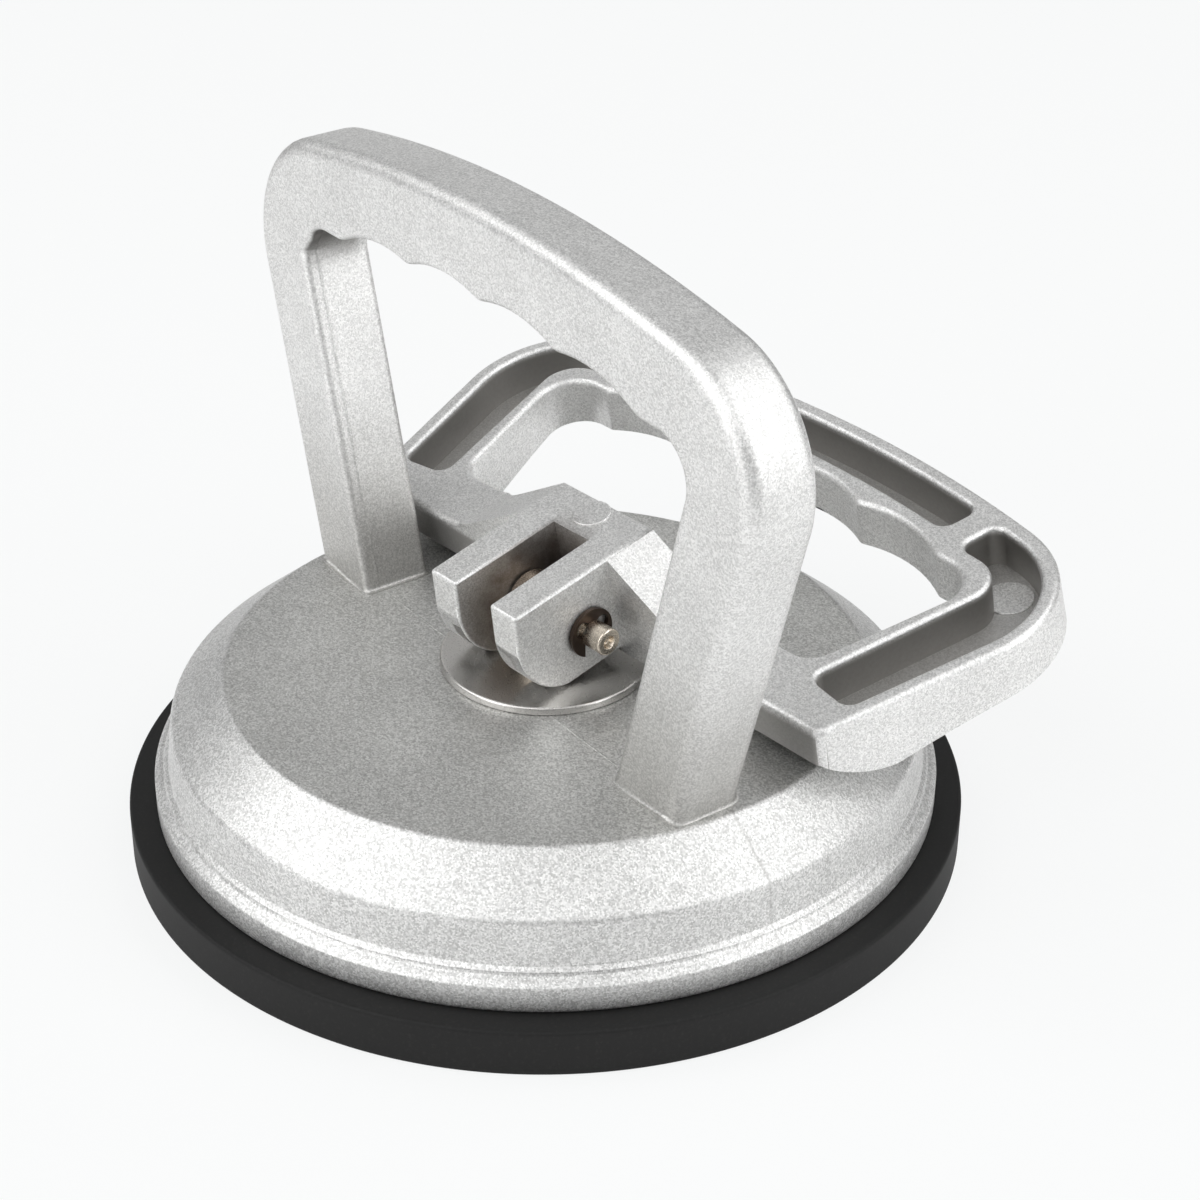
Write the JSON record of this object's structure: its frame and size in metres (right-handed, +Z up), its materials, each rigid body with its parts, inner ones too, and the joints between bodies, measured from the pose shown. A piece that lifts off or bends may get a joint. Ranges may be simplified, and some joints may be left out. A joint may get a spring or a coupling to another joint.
{
  "type": "suction lifter",
  "caption": "Die-cast suction lifter with a rubber cup, an upright grip handle and a hinged cam lever with a looped grip.",
  "frame": {"origin": "middle of the pad's sealing face", "axes": "+Z up away from the held surface, +X along the fixed handle's grip, +Y towards the side where the released lever lies"},
  "size_m": [0.1208, 0.1213, 0.0971],
  "materials": {
    "black_rubber": "matte moulded rubber",
    "zinc_plated_steel": "bright zinc plating",
    "turned_steel": "turned, plain",
    "spring_steel": "drawn wire",
    "cast_aluminium": "fine-blasted die casting",
    "polished_steel": "polished",
    "cast_aluminium_lever": "fine-blasted die casting",
    "blackened_steel": "blackened"
  },
  "bodies": {
    "base": {"body_casting": "cast_aluminium", "rubber_pad": "black_rubber", "return_spring": "spring_steel"},
    "washer": {"cam_washer": "polished_steel"},
    "stud": {"pull_stud": "turned_steel", "backing_plate": "zinc_plated_steel", "lock_nut": "zinc_plated_steel"},
    "lever": {"lever_casting": "cast_aluminium_lever", "hinge_pin": "turned_steel", "retaining_clip_right": "blackened_steel", "retaining_clip_left": "blackened_steel"}
  },
  "joints": [
    {"name": "stud_swivel", "type": "hinge", "parent": "base", "child": "washer", "pos_m": [0, 0, 0.0258], "axis": [0, 0, 1], "range_deg": [-5, 0]},
    {"name": "stud_lift", "type": "slide", "parent": "washer", "child": "stud", "axis": [0, 0, 1], "range_m": [0, 0.00476], "deforming": ["return_spring"]},
    {"name": "lever_swing", "type": "hinge", "parent": "stud", "child": "lever", "pos_m": [0, 0, 0.0346], "axis": [0.9962, 0.0872, 0], "range_deg": [0, 77.85]}
  ],
  "couplings": [
    {"joint": "stud_lift", "follows": "lever_swing", "m_per_rad": 0.0035014},
    {"joint": "stud_swivel", "follows": "lever_swing", "ratio": -0.064162}
  ]
}
